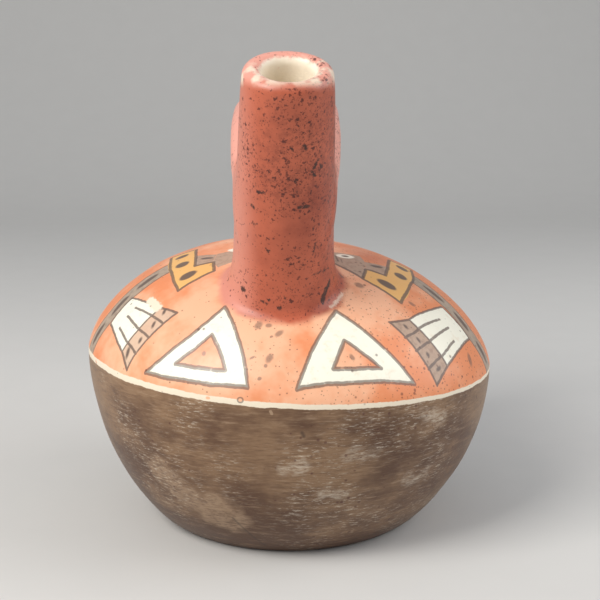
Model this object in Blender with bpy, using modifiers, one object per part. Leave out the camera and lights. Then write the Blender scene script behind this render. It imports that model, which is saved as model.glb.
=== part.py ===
"""Double spout and bridge vessel in fired, painted clay.

One fired piece: a bowl closed by a low dome, two spouts that lean away from
each other along Y, and an arched strap between them. It is parted at the
shoulder, at the foot of each spout and at the ends of the strap, where a
potter would have joined them, so that the hollow and both bores stay open.
Metres, +Z up. The origin is the middle of the flat underside. The front spout
leans towards -Y.
"""
import math

import bmesh
import bpy
from mathutils import Matrix, Vector

# Body
BELLY_RADIUS = 0.0800
SHOULDER_HEIGHT = 0.0654
DOME_RISE = 0.0441
BASE_RADIUS = 0.0500
BASE_EDGE_ROUND = 0.0040
BODY_WALL = 0.0055
FLOOR_THICKNESS = 0.0070
# The shoulder was thrown out of level: its left side (-X) stands this much high
SHOULDER_TILT = 0.0037

# Spouts
SPOUT_REACH = 0.0790
SPOUT_TOP = 0.1766
SPOUT_LEAN = math.radians(25.3)
SPOUT_SIDE_LEAN = math.radians(1.6)
SPOUT_SIDE_SET = -0.0003
SPOUT_NECK_RADIUS = 0.0147
SPOUT_FOOT_RADIUS = 0.0182
SPOUT_FLARE = 0.0048
SPOUT_FLARE_ABOVE = 0.0140
SPOUT_FLARE_BELOW = 0.0100
LIP_ROUND = 0.0028
BORE_MOUTH_RADIUS = 0.0085
BORE_FOOT_RADIUS = 0.0115

# Bridge
BRIDGE_HALF_WIDTH = 0.0198
BRIDGE_END_HALF_WIDTH = 0.0145
BRIDGE_THICKNESS = 0.0100
BRIDGE_END_THICKNESS = 0.0130
BRIDGE_TOP = 0.1660
BRIDGE_RISE = 0.0260
BRIDGE_CROWN = 0.0016
BRIDGE_SIDE_SET = -0.0013

# Fullness of the curves: 2 is a true ellipse, less is flatter, more is squarer.
# Under 1 a spout swells early, and the higher the waist, the later the strap narrows
BOWL_FULLNESS_OUT = 1.22
BOWL_FULLNESS_DOWN = 2.0
DOME_FULLNESS_OUT = 2.29
DOME_FULLNESS_UP = 1.52
SPOUT_SWELL = 0.75
STRAP_WAIST = 8.0
# Level width of the flank wall near the floor, in walls, because the flank leans there
FLANK_SLANT = 1.5
# Share of the strap's thickness that each of its edges is rounded by
STRAP_ROUNDING = 0.42

# Facets
BODY_STEPS = 60
SPOUT_STEPS = 32
BORE_STEPS = 24
CURVE_POINTS = 13
ARC_POINTS = 4
STRAP_LENGTH_CELLS = 14
STRAP_WIDTH_CELLS = 6

# How far a cutter runs past what it cuts, the gap at each parting, and when points merge
OVERRUN = 0.0060
PARTING = 0.0003
MERGE = 0.0001


def quarter(count, start=0.0):
    """Angles over a quarter turn, from start to a right angle."""
    return [start + (math.pi / 2 - start) * i / (count - 1) for i in range(count)]


def dome_curve(radius, rise, foot, count=CURVE_POINTS):
    """Radius and height from the top of a dome down to its widest point."""
    curve = []
    for angle in reversed(quarter(count)):
        out = radius * max(math.cos(angle), 0.0) ** (2 / DOME_FULLNESS_OUT)
        up = rise * math.sin(angle) ** (2 / DOME_FULLNESS_UP)
        curve.append((out, foot + up))
    curve[0] = (0.0, foot + rise)
    return curve


def bowl_curve(radius, foot_radius, top, bottom, count=CURVE_POINTS):
    """Radius and height from a bowl's widest point down to its foot."""
    curve = []
    for angle in quarter(count):
        out = (radius - foot_radius) * max(math.cos(angle), 0.0) ** (2 / BOWL_FULLNESS_OUT)
        down = (top - bottom) * math.sin(angle) ** (2 / BOWL_FULLNESS_DOWN)
        curve.append((foot_radius + out, top - down))
    return curve


def radius_at(curve, height):
    """Radius of a turned curve at a height, read between its points."""
    for (r0, z0), (r1, z1) in zip(curve, curve[1:]):
        if min(z0, z1) <= height <= max(z0, z1) and z0 != z1:
            return r0 + (r1 - r0) * (height - z0) / (z1 - z0)
    return curve[-1][0]


def height_at(curve, radius):
    """Height of a dome curve above a radius, read between its points."""
    for (r0, z0), (r1, z1) in zip(curve, curve[1:]):
        if r0 <= radius <= r1 and r0 != r1:
            return z0 + (z1 - z0) * (radius - r0) / (r1 - r0)
    return curve[-1][1]


def rounded_foot(curve, fillet):
    """A bowl curve whose corner with the flat underside is an arc."""
    (r0, z0), (r1, z1) = curve[-3], curve[-1]
    slope = math.atan2(z0 - z1, r0 - r1)
    centre = r1 - fillet * math.tan(slope / 2)
    arc = []
    for i in range(ARC_POINTS + 1):
        angle = slope * (1 - i / ARC_POINTS)
        arc.append((centre + fillet * math.sin(angle), fillet - fillet * math.cos(angle)))
    return [point for point in curve if point[1] > arc[0][1] + MERGE] + arc


def level_tilt(mesh):
    """Lift the left of the shoulder and sink its right, easing to nothing at the foot."""
    for vertex in mesh.vertices:
        share = min(max(vertex.co.z / SHOULDER_HEIGHT, 0.0), 1.0)
        ease = share * share * (3 - 2 * share)
        vertex.co.z -= SHOULDER_TILT * ease * vertex.co.x / BELLY_RADIUS


def turned(name, profile, steps, collection):
    """A closed turned solid from a profile at +X that runs from top to bottom."""
    mesh = bpy.data.meshes.new(name + "_profile")
    points = [(radius, 0.0, height) for radius, height in profile]
    mesh.from_pydata(points, [(i, i + 1) for i in range(len(points) - 1)], [])
    guide = bpy.data.objects.new(name + "_profile", mesh)
    collection.objects.link(guide)
    screw = guide.modifiers.new("Turn", "SCREW")
    screw.steps = steps
    screw.render_steps = steps
    screw.use_merge_vertices = True
    screw.merge_threshold = MERGE
    solid = as_mesh(guide, name, collection)
    return solid


def as_mesh(source, name, collection):
    """A plain mesh object made from an object with modifiers, which is then removed."""
    graph = bpy.context.evaluated_depsgraph_get()
    mesh = bpy.data.meshes.new_from_object(source.evaluated_get(graph))
    mesh.name = name
    made = bpy.data.objects.new(name, mesh)
    made.matrix_world = source.matrix_world.copy()
    collection.objects.link(made)
    bpy.data.objects.remove(source)
    return made


def spout_axis(side):
    """Mouth centre of a spout and the unit vector from its mouth down its axis."""
    mouth = Vector((SPOUT_SIDE_SET, side * SPOUT_REACH, SPOUT_TOP))
    down = Vector((-math.tan(SPOUT_SIDE_LEAN), -side * math.tan(SPOUT_LEAN), -1.0))
    return mouth, down.normalized()


def depth_to(curve, side, sink):
    """Distance down a spout's axis until it is sink under a dome curve, found by halving."""
    mouth, down = spout_axis(side)
    above, below = 0.0, mouth.z
    for _ in range(40):
        depth = (above + below) / 2
        point = mouth + down * depth
        if point.z > height_at(curve, math.hypot(point.x, point.y)):
            above = depth
        else:
            below = depth
    return below + sink


def place_on_axis(solid, side):
    """Turn a solid whose axis is +Z, with its mouth at the origin, onto a spout's axis."""
    mouth, down = spout_axis(side)
    turn = Vector((0.0, 0.0, -1.0)).rotation_difference(down).to_matrix().to_4x4()
    solid.matrix_world = Matrix.Translation(mouth) @ turn


def spout_profile(depth, grow=0.0):
    """Outer side of a spout: rounded lip, swelling side, flare onto the dome."""
    lip = []
    for angle in reversed(quarter(ARC_POINTS + 1)):
        out = SPOUT_NECK_RADIUS - LIP_ROUND + LIP_ROUND * math.cos(angle)
        lip.append((out, LIP_ROUND * (math.sin(angle) - 1)))
    flare_from = depth - SPOUT_FLARE_ABOVE
    flare_height = SPOUT_FLARE_ABOVE + SPOUT_FLARE_BELOW
    stations = [flare_from * share for share in (0.15, 0.35, 0.65, 1.0)]
    stations += [flare_from + flare_height * share for share in (0.25, 0.5, 0.75, 1.0)]
    side = []
    for station in stations:
        share = (station - LIP_ROUND) / (depth - LIP_ROUND)
        radius = SPOUT_NECK_RADIUS + (SPOUT_FOOT_RADIUS - SPOUT_NECK_RADIUS) * share ** SPOUT_SWELL
        flare = max(station - flare_from, 0.0) / flare_height
        side.append((radius + SPOUT_FLARE * flare ** 2, -station))
    grown = [(radius + grow, height) for radius, height in lip + side]
    return [(0.0, 0.0)] + grown + [(0.0, -stations[-1])]


def bore_profile(depth):
    """Cutter for a spout's bore, with the inner half of the rounded lip."""
    mouth = []
    for angle in quarter(ARC_POINTS + 1):
        out = BORE_MOUTH_RADIUS + LIP_ROUND * (1 - math.sin(angle))
        mouth.append((out, LIP_ROUND * (math.cos(angle) - 1)))
    top = (BORE_MOUTH_RADIUS + LIP_ROUND, OVERRUN)
    return [(0.0, OVERRUN), top] + mouth + [(BORE_FOOT_RADIUS, -depth), (0.0, -depth)]


def make_strap(collection):
    """Arched strap between the spouts' axes: a bent grid, thickened and rounded."""
    bottom = BRIDGE_TOP - BRIDGE_THICKNESS / 2 - BRIDGE_RISE
    half_span = SPOUT_REACH - (SPOUT_TOP - bottom) * math.tan(SPOUT_LEAN)
    bend = (half_span ** 2 + BRIDGE_RISE ** 2) / (2 * BRIDGE_RISE)
    mesh = bpy.data.meshes.new("bridge")
    sheet = bmesh.new()
    thick = sheet.verts.layers.deform.verify()
    bmesh.ops.create_grid(sheet, x_segments=STRAP_WIDTH_CELLS, y_segments=STRAP_LENGTH_CELLS, size=1.0)
    for vertex in sheet.verts:
        across, along = vertex.co.x, vertex.co.y
        vertex[thick][0] = along ** 2
        reach = along * half_span
        narrowing = (BRIDGE_HALF_WIDTH - BRIDGE_END_HALF_WIDTH) * abs(along) ** STRAP_WAIST
        drop = bend - math.sqrt(bend ** 2 - reach ** 2) + BRIDGE_CROWN * across ** 2
        height = BRIDGE_TOP - BRIDGE_THICKNESS / 2 - drop
        vertex.co = (BRIDGE_SIDE_SET + across * (BRIDGE_HALF_WIDTH - narrowing), reach, height)
    sheet.to_mesh(mesh)
    sheet.free()
    strap = bpy.data.objects.new("bridge", mesh)
    collection.objects.link(strap)
    solidify = strap.modifiers.new("Thickness", "SOLIDIFY")
    strap.vertex_groups.new(name="towards_spouts")
    solidify.thickness = BRIDGE_END_THICKNESS
    solidify.vertex_group = "towards_spouts"
    solidify.thickness_vertex_group = BRIDGE_THICKNESS / BRIDGE_END_THICKNESS
    solidify.offset = 0.0
    solidify.use_even_offset = True
    bevel = strap.modifiers.new("Rounded edges", "BEVEL")
    bevel.width = STRAP_ROUNDING * BRIDGE_THICKNESS
    bevel.segments = 3
    bevel.limit_method = "ANGLE"
    bevel.angle_limit = math.radians(50)
    return strap


def clay(name, colour, roughness):
    """A painted or burnished clay surface."""
    material = bpy.data.materials.new(name)
    material.use_nodes = True
    shader = material.node_tree.nodes["Principled BSDF"]
    shader.inputs["Base Color"].default_value = (*colour, 1.0)
    shader.inputs["Roughness"].default_value = roughness
    shader.inputs["Metallic"].default_value = 0.0
    material.diffuse_color = (*colour, 1.0)
    return material


def cut(target, tool):
    """Cut a tool away from the target, keeping the modifier live."""
    modifier = target.modifiers.new("Cut " + tool.name, "BOOLEAN")
    modifier.operation = "DIFFERENCE"
    modifier.object = tool
    modifier.solver = "EXACT"
    tool.hide_render = True
    tool.display_type = "WIRE"


def make_bowl(pieces):
    """The lower body: floor and flank, open at the shoulder."""
    outer = bowl_curve(BELLY_RADIUS, BASE_RADIUS, SHOULDER_HEIGHT, 0.0)
    floor_radius = radius_at(outer, FLOOR_THICKNESS) - FLANK_SLANT * BODY_WALL
    inner = bowl_curve(BELLY_RADIUS - BODY_WALL, floor_radius, SHOULDER_HEIGHT, FLOOR_THICKNESS)
    section = [(0.0, FLOOR_THICKNESS)] + inner[::-1] + rounded_foot(outer, BASE_EDGE_ROUND) + [(0.0, 0.0)]
    bowl = turned("bowl", section, BODY_STEPS, pieces)
    level_tilt(bowl.data)
    finish(bowl, clay("burnished_bowl", (0.08, 0.048, 0.034), 0.5))


def shoulder_dome(offset):
    """The dome's curve, moved out of its surface by an offset, from a parting above the bowl."""
    foot = SHOULDER_HEIGHT + PARTING
    return dome_curve(BELLY_RADIUS + offset, DOME_RISE - PARTING + offset, foot)


def make_dome(pieces):
    """The upper body: a thin dome from the shoulder up."""
    dome = turned("dome", shoulder_dome(0.0) + shoulder_dome(-BODY_WALL)[::-1], BODY_STEPS, pieces)
    level_tilt(dome.data)
    finish(dome, clay("orange_slip", (0.55, 0.19, 0.09), 0.45))
    return dome


def make_seat(tools):
    """Cutter that shapes a spout's foot to the dome, a parting's gap above it."""
    seat = turned("seat", shoulder_dome(PARTING) + [(0.0, SHOULDER_HEIGHT + PARTING)], BODY_STEPS, tools)
    level_tilt(seat.data)
    return seat


def finish(piece, material):
    """Give a piece its clay and shade it smooth between its real edges."""
    piece.data.materials.append(material)
    piece.data.shade_smooth()
    piece.data.set_sharp_from_angle(angle=math.radians(40))


def make_vessel():
    """Bowl, dome, two spouts and the strap between them, each cut to fit its neighbour."""
    pieces = bpy.data.collections.new("double_spout_vessel")
    tools = bpy.data.collections.new("vessel_tools")
    bpy.context.scene.collection.children.link(pieces)
    bpy.context.scene.collection.children.link(tools)

    make_bowl(pieces)
    dome = make_dome(pieces)
    seat = make_seat(tools)
    bridge = make_strap(pieces)

    for side, place in ((-1, "front"), (1, "back")):
        depth = depth_to(shoulder_dome(0.0), side, 0.0)
        bore_depth = depth_to(shoulder_dome(-BODY_WALL), side, OVERRUN)
        spout = turned(place + "_spout", spout_profile(depth), SPOUT_STEPS, pieces)
        sleeve = turned(place + "_sleeve", spout_profile(depth, PARTING), SPOUT_STEPS, tools)
        bore = turned(place + "_bore", bore_profile(bore_depth), BORE_STEPS, tools)
        for turned_piece in (spout, sleeve, bore):
            place_on_axis(turned_piece, side)
        cut(spout, seat)
        cut(spout, bore)
        cut(dome, bore)
        cut(bridge, sleeve)
        finish(spout, clay(place + "_spout_slip", (0.42, 0.12, 0.07), 0.42))

    finish(bridge, clay("bridge_slip", (0.50, 0.17, 0.11), 0.42))


for leftover in list(bpy.data.objects):
    bpy.data.objects.remove(leftover)
make_vessel()
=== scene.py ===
"""Looks of a double spout and bridge vessel: one piece of painted, burnished clay.

The clay is one closed shell with a hollow and two open bores. Lengths are in metres, and
painted motifs are given in millimetres on the dome laid out flat: the distance from the
middle is nearly the distance along the surface, x is to the right and y to the back.
"""
import math

import bmesh
import bpy
import numpy as np
from bpy.props import FloatProperty, FloatVectorProperty, PointerProperty
from mathutils import Matrix, Vector


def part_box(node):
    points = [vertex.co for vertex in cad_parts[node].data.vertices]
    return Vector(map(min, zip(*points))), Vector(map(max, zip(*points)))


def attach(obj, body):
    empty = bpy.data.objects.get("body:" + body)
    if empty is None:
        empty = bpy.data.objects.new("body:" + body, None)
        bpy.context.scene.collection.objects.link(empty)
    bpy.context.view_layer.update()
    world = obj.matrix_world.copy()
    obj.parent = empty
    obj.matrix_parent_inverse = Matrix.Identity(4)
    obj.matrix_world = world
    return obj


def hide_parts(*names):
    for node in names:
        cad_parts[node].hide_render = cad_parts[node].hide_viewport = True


bl_info = {
    "name": "Double Spout Vessel",
    "version": (1, 0),
    "blender": (4, 5, 0),
    "location": "View3D > Sidebar > Vessel",
    "description": "Forms and paints a double spout and bridge vessel around its packed solids",
    "category": "Object",
}

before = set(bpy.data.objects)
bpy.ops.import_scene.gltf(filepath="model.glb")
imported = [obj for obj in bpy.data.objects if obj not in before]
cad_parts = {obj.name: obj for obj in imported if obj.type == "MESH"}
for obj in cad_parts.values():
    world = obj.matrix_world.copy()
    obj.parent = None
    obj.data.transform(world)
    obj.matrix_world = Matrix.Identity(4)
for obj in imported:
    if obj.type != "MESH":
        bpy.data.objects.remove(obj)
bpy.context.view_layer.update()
BOWL_LOW, BOWL_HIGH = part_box("bowl")
MM = 0.001


def screen(red, green, blue):
    """A colour given in screen values, as the linear values that shaders use."""
    def linear(value):
        value /= 255
        return value / 12.92 if value <= 0.04045 else ((value + 0.055) / 1.055) ** 2.4
    return linear(red), linear(green), linear(blue)


def length(name, default, description):
    """A size in metres."""
    return FloatProperty(name=name, default=default, min=0.0, unit="LENGTH", precision=5,
                         description=description)


def angle(name, degrees, description):
    """An angle, given in degrees."""
    return FloatProperty(name=name, default=math.radians(degrees), subtype="ANGLE", description=description)


def colour(name, default, description):
    """A colour."""
    return FloatVectorProperty(name=name, default=default, size=3, min=0, max=1, subtype="COLOR",
                               description=description)


class VesselForm(bpy.types.PropertyGroup):
    """Sizes of the clay."""
    belly: length("Belly radius", (BOWL_HIGH.x - BOWL_LOW.x) / 2, "Widest radius of the body")
    shoulder: length("Shoulder height", 0.0654, "Height of the widest point")
    dome_rise: length("Dome rise", 0.0441, "Height of the dome above the shoulder")
    foot: length("Foot radius", 0.0500, "Radius of the underside before its edge is rounded")
    foot_round: length("Foot edge", 0.0040, "Rounding of the underside's edge")
    wall: length("Wall", 0.0055, "Thickness of the body's wall")
    floor: length("Floor", 0.0070, "Thickness of the floor")
    tilt: length("Shoulder tilt", 0.0037, "How much higher the shoulder stands on the left")
    reach: length("Spout reach", 0.0790, "From the middle to each mouth")
    mouth_height: length("Mouth height", 0.1766, "Height of each mouth's centre")
    lean: angle("Spout lean", 25.3, "Lean of the spouts away from each other")
    side_lean: angle("Spout side lean", 1.6, "Lean of the spouts to the left at their feet")
    neck: length("Spout neck", 0.0147, "Outer radius of a spout at its lip")
    spout_foot: length("Spout foot", 0.0182, "Outer radius of a spout at the dome")
    flare: length("Spout flare", 0.0048, "Extra radius where a spout spreads on the dome")
    lip: length("Lip rounding", 0.0028, "Rounding of the lip")
    bore: length("Bore", 0.0085, "Radius of the bore at the mouth")
    bore_foot: length("Bore foot", 0.0115, "Radius of the bore at the hollow")
    strap: length("Bridge half width", 0.0198, "Half the width of the bridge")
    strap_end: length("Bridge end half width", 0.0145, "Half the width of the bridge in the spouts")
    strap_thick: length("Bridge thickness", 0.0100, "Thickness of the bridge at its middle")
    strap_end_thick: length("Bridge end thickness", 0.0130, "Thickness of the bridge in the spouts")
    strap_top: length("Bridge top", 0.1660, "Height of the top of the bridge")
    strap_rise: length("Bridge rise", 0.0260, "Rise of the bridge from the spouts to its top")
    grain: length("Modelling grain", 0.00125, "Spacing of the points on the clay")
    unevenness: length("Unevenness", 0.00022, "How far the hand-made surface wanders")


class VesselPaint(bpy.types.PropertyGroup):
    """Colours of the slips, the paints and the bare clay."""
    orange: colour("Orange slip", screen(232, 142, 93), "Slip on the dome")
    # The pale orange slip is partly slip worn thin in clouds and partly painted sheen, laid more at the left
    # and around the spouts
    orange_pale: colour("Pale orange slip", screen(246, 186, 148), "Where the dome's slip is rubbed thin")
    red: colour("Red slip", screen(190, 96, 66), "Slip on the spouts and the bridge")
    # The deep red lies in clouds, and there is more of it towards the right
    red_deep: colour("Deep red slip", screen(150, 66, 42), "Where the red slip lies thick")
    # The pale red is partly painted sheen: on the bridge's top and the lips where light falls from above, and
    # on the left flank where it falls from the left
    red_pale: colour("Pale red slip", screen(232, 162, 144), "Bridge, lips and wherever the red slip is thin")
    bowl: colour("Burnished brown", screen(138, 107, 78), "The lower body")
    # The dark brown lies in patches that grow towards the bottom
    bowl_dark: colour("Dark brown", screen(88, 58, 37), "Smoke-darkened patches of the lower body")
    bowl_tan: colour("Tan", screen(174, 146, 118), "Worn patches of the lower body")
    cream: colour("Cream paint", screen(250, 245, 226), "Triangles and wing feathers")
    band: colour("Band paint", screen(240, 226, 202), "The light band at the shoulder")
    ochre: colour("Ochre paint", screen(240, 186, 112), "Collars")
    grey: colour("Grey paint", screen(178, 158, 138), "Heads, strips and wing tips")
    line: colour("Line paint", screen(104, 86, 76), "Outlines")
    maroon: colour("Maroon", screen(70, 16, 12), "Specks of iron in the slip")
    soot: colour("Soot", screen(36, 20, 16), "Smears and dark spots")
    clay: colour("Bare clay", screen(254, 242, 222), "Inside the mouths")


class StageLook(bpy.types.PropertyGroup):
    """Floor, light and camera."""
    floor: colour("Floor", screen(214, 212, 208), "Floor and backdrop")
    key: FloatProperty(name="Key light", default=9.0, unit="POWER",
                       description="Large light above the front left")
    fill: FloatProperty(name="Fill light", default=3.8, unit="POWER", description="Large light at the right")
    sky: FloatProperty(name="Sky", default=0.42, description="Strength of the light from all around")
    distance: length("Camera distance", 0.4400, "From the middle of the vessel to the camera")
    height: length("Camera height", 0.1757, "Height of the camera above the floor")
    down: angle("Camera pitch", 11.61, "How far the camera looks down")
    aside: angle("Camera yaw", 0.538, "How far the camera looks to the right")
    lens: FloatProperty(name="Lens", default=67.08,
                        description="Focal length in millimetres, on a 36 mm sensor")


# Fullness of the curves: 2 is a true ellipse, less is flatter, more is squarer
DOME_FULLNESS = (2.29, 1.52)
BOWL_FULLNESS = (1.22, 2.0)
# How evenly a spout widens downwards: 1 is a cone, less swells early
SPOUT_SWELL = 0.75
# How late the bridge narrows towards the spouts, the rounding of its edges as a share of its
# thickness, and how far they lie under its crown
STRAP_WAIST = 8.0
STRAP_ROUNDING = 0.42
STRAP_CROWN = 0.0016
# How far the hollow's floor ends inside the bowl's outside, in walls
FLANK_SLANT = 1.5
# How far the mouths and the bridge stand to the right of the middle
SPOUT_SIDE_SET = -0.0003
STRAP_SIDE_SET = -0.0013
# How far above the dome a spout begins to flare, and how far it goes on into it
FLARE_ABOVE = 0.0140
FLARE_BELOW = 0.0100
# Points along a curve, along a small rounding, down a spout's side and down its axis
CURVE_STEPS = 48
ROUNDING_STEPS = 8
SIDE_STEPS = 24
DEPTH_STEPS = 2000

# Faces are told apart by these places in the piece's list of materials
DOME, SPOUT, BOWL, INSIDE = range(4)


def dome_outline(radius, rise, foot):
    """Radius and height of a dome from its top down to its widest point."""
    turn = np.linspace(math.pi / 2, 0, CURVE_STEPS)
    out = radius * np.abs(np.cos(turn)) ** (2 / DOME_FULLNESS[0])
    up = rise * np.sin(turn) ** (2 / DOME_FULLNESS[1])
    return np.column_stack([out, foot + up])


def bowl_outline(radius, foot, top, bottom):
    """Radius and height of a bowl from its widest point down to its foot."""
    turn = np.linspace(0, math.pi / 2, CURVE_STEPS)
    out = foot + (radius - foot) * np.abs(np.cos(turn)) ** (2 / BOWL_FULLNESS[0])
    down = (top - bottom) * np.sin(turn) ** (2 / BOWL_FULLNESS[1])
    return np.column_stack([out, top - down])


def foot_outline(bowl, fillet):
    """The rounded edge between a bowl and its flat underside, ending in the middle."""
    slope = math.atan2(bowl[-3][1] - bowl[-1][1], bowl[-3][0] - bowl[-1][0])
    centre = bowl[-1][0] - fillet * math.tan(slope / 2)
    turn = slope * (1 - np.linspace(0, 1, ROUNDING_STEPS))
    arc = np.column_stack([centre + fillet * np.sin(turn), fillet - fillet * np.cos(turn)])
    return np.vstack([bowl[bowl[:, 1] > arc[0][1]], arc, [[0.0, 0.0]]])


def body_outline(form):
    """Outside of the body from the top of the dome to the middle of the underside."""
    bowl = bowl_outline(form.belly, form.foot, form.shoulder, 0.0)
    dome = dome_outline(form.belly, form.dome_rise, form.shoulder)
    return np.vstack([dome, foot_outline(bowl, form.foot_round)[1:]])


def hollow_outline(form):
    """Inside of the body from under the dome to the middle of the floor."""
    dome = dome_outline(form.belly - form.wall, form.dome_rise - form.wall, form.shoulder)
    bowl = bowl_outline(form.belly, form.foot, form.shoulder, 0.0)
    foot = np.interp(form.floor, bowl[::-1, 1], bowl[::-1, 0]) - FLANK_SLANT * form.wall
    inner = bowl_outline(form.belly - form.wall, foot, form.shoulder, form.floor)
    return np.vstack([dome, inner[1:], [[0.0, form.floor]]])


def spout_depth(form, wall):
    """Distance down a spout's axis from its mouth to the dome, or to a surface a wall under it."""
    dome = dome_outline(form.belly - wall, form.dome_rise - wall, form.shoulder)
    depths = np.linspace(0.0, form.mouth_height, DEPTH_STEPS)
    mouth, down = spout_axis(form, -1)
    track = np.array(mouth) + depths[:, None] * np.array(down)
    radius = np.hypot(track[:, 0], track[:, 1])
    above = track[:, 2] > np.interp(radius, dome[:, 0], dome[:, 1])
    return depths[np.argmin(above)]


def spout_outline(form):
    """Outside of a spout, mouth at zero and foot below: lip, swelling side and flare."""
    depth = spout_depth(form, 0.0)
    turn = np.linspace(math.pi / 2, 0, ROUNDING_STEPS)
    lip = np.column_stack([form.neck - form.lip * (1 - np.cos(turn)), form.lip * (np.sin(turn) - 1)])
    station = np.linspace(form.lip, depth + FLARE_BELOW, SIDE_STEPS)[1:]
    share = (station - form.lip) / (depth - form.lip)
    flare = np.maximum(station - depth + FLARE_ABOVE, 0) / (FLARE_ABOVE + FLARE_BELOW)
    side = form.neck + (form.spout_foot - form.neck) * share ** SPOUT_SWELL + form.flare * flare ** 2
    return np.vstack([[[0.0, 0.0]], lip, np.column_stack([side, -station]), [[0.0, -station[-1]]]])


def bore_outline(form):
    """Inside of a spout: the inner half of the lip, then an even taper into the hollow."""
    depth = spout_depth(form, form.wall) + FLARE_BELOW
    turn = np.linspace(0, math.pi / 2, ROUNDING_STEPS)
    lip = np.column_stack([form.bore + form.lip * (1 - np.sin(turn)), form.lip * (np.cos(turn) - 1)])
    above = [[0.0, form.lip], [form.bore + form.lip, form.lip]]
    return np.vstack([above, lip, [[form.bore_foot, -depth], [0.0, -depth]]])


def spout_axis(form, side):
    """Mouth centre of a spout and the unit vector down its axis."""
    mouth = Vector((SPOUT_SIDE_SET, side * form.reach, form.mouth_height))
    down = Vector((-math.tan(form.side_lean), -side * math.tan(form.lean), -1.0))
    return mouth, down.normalized()


def spout_place(form, side):
    """Matrix that puts a shape with its mouth at the origin and its axis along Z onto a spout."""
    mouth, down = spout_axis(form, side)
    turn = Vector((0.0, 0.0, -1.0)).rotation_difference(down).to_matrix().to_4x4()
    return Matrix.Translation(mouth) @ turn


def strap_bend(form):
    """Half span and radius of the arc that the bridge follows, and the height of its centre."""
    middle = form.strap_top - form.strap_thick / 2
    half_span = form.reach - (form.mouth_height - middle + form.strap_rise) * math.tan(form.lean)
    bend = (half_span ** 2 + form.strap_rise ** 2) / (2 * form.strap_rise)
    return half_span, bend, middle - bend


def level(points, form):
    """Heights of points as if the shoulder were level."""
    share = np.clip(points[:, 2] / form.shoulder, 0, 1)
    return points[:, 2] + form.tilt * share * share * (3 - 2 * share) * points[:, 0] / form.belly


def outline_distance(radius, height, outline):
    """Distance to a turned surface, under zero inside it."""
    nearest = np.full(radius.shape, np.inf)
    for (r0, z0), (r1, z1) in zip(outline, outline[1:]):
        run, rise = r1 - r0, z1 - z0
        square = max(run * run + rise * rise, 1e-18)
        share = np.clip(((radius - r0) * run + (height - z0) * rise) / square, 0, 1)
        nearest = np.minimum(nearest, np.hypot(radius - r0 - share * run, height - z0 - share * rise))
    reach = np.interp(height, outline[::-1, 1], outline[::-1, 0], left=0, right=0)
    return np.where(radius < reach, -nearest, nearest)


def round_union(first, second, blend):
    """Distance to two shapes joined with a soft fillet."""
    overlap = np.maximum(blend - np.abs(first - second), 0)
    return np.minimum(first, second) - overlap ** 2 / (4 * blend)


def spout_distance(points, form, side, outline):
    """Distance to a turned shape that stands on a spout's axis."""
    place = np.array(spout_place(form, side).inverted())
    local = points @ place[:3, :3].T + place[:3, 3]
    return outline_distance(np.hypot(local[:, 0], local[:, 1]), local[:, 2], outline)


def strap_distance(points, form):
    """Distance to the bent strap, whose section is a rounded bar."""
    half_span, bend, centre = strap_bend(form)
    along = np.clip(np.abs(points[:, 1]) / half_span, 0, 1)
    half = form.strap - (form.strap - form.strap_end) * along ** STRAP_WAIST
    thick = (form.strap_thick + (form.strap_end_thick - form.strap_thick) * along ** 2) / 2
    across = points[:, 0] - STRAP_SIDE_SET
    crown = STRAP_CROWN * (across / form.strap) ** 2
    up = np.hypot(points[:, 1], points[:, 2] - centre) - bend + crown
    edge = STRAP_ROUNDING * form.strap_thick
    out_x = np.abs(across) - half + edge
    out_z = np.abs(up) - thick + edge
    outer = np.hypot(np.maximum(out_x, 0), np.maximum(out_z, 0))
    inner = np.minimum(np.maximum(out_x, out_z), 0)
    ends = np.maximum(np.abs(points[:, 1]) - half_span, centre - points[:, 2])
    return np.maximum(outer + inner - edge, ends)


# Softness of the joins, as a maker's wet finger leaves them
SPOUT_FILLET = 0.0035
STRAP_FILLET = 0.0050
BORE_FILLET = 0.0030
# How far a point is moved to find which way the clay slopes
SLOPE_STEP = 2e-5


class Shell:
    """The clay as a distance: under zero in the clay, over zero in the air and the hollow."""

    def __init__(self, form):
        self.form = form
        self.body = body_outline(form)
        self.hollow = hollow_outline(form)
        self.spout = spout_outline(form)
        self.bore = bore_outline(form)

    def body_distance(self, points):
        """Distance to the outside of the bare body."""
        return outline_distance(np.hypot(points[:, 0], points[:, 1]), level(points, self.form), self.body)

    def limbs_distance(self, points):
        """Distance to the outside of the spouts and the bridge."""
        spouts = [spout_distance(points, self.form, side, self.spout) for side in (-1, 1)]
        return round_union(np.minimum(*spouts), strap_distance(points, self.form), STRAP_FILLET)

    def outside(self, points):
        """Distance to the outside of the vessel."""
        return round_union(self.body_distance(points), self.limbs_distance(points), SPOUT_FILLET)

    def hollow_distance(self, points):
        """Distance to the air inside the vessel."""
        hollow = outline_distance(np.hypot(points[:, 0], points[:, 1]), level(points, self.form), self.hollow)
        for side in (-1, 1):
            hollow = round_union(hollow, spout_distance(points, self.form, side, self.bore), BORE_FILLET)
        return hollow

    def distance(self, points):
        """Distance to the clay."""
        return np.maximum(self.outside(points), -self.hollow_distance(points))

    def slope(self, points, here):
        """Direction away from the clay at each point."""
        steps = np.eye(3) * SLOPE_STEP
        return np.column_stack([(self.distance(points + step) - here) / SLOPE_STEP for step in steps])


# Waves of the uneven surface: height, then two that cross, each with its turn per centimetre
# along x, y and z and its start
HAND_WAVES = [(1.0, (0.71, 0.0, 0.43, 1.1), (0.0, 0.62, -0.38, 0.4)),
              (0.6, (1.53, -0.9, 0.0, 2.0), (0.6, 0.0, 1.31, 0.0)),
              (0.35, (0.0, 0.8, 2.4, 0.7), (2.1, 1.2, 0.0, 0.0))]
HIGHEST_WAVE = 1.4
CENTIMETRE = 0.01


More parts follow.
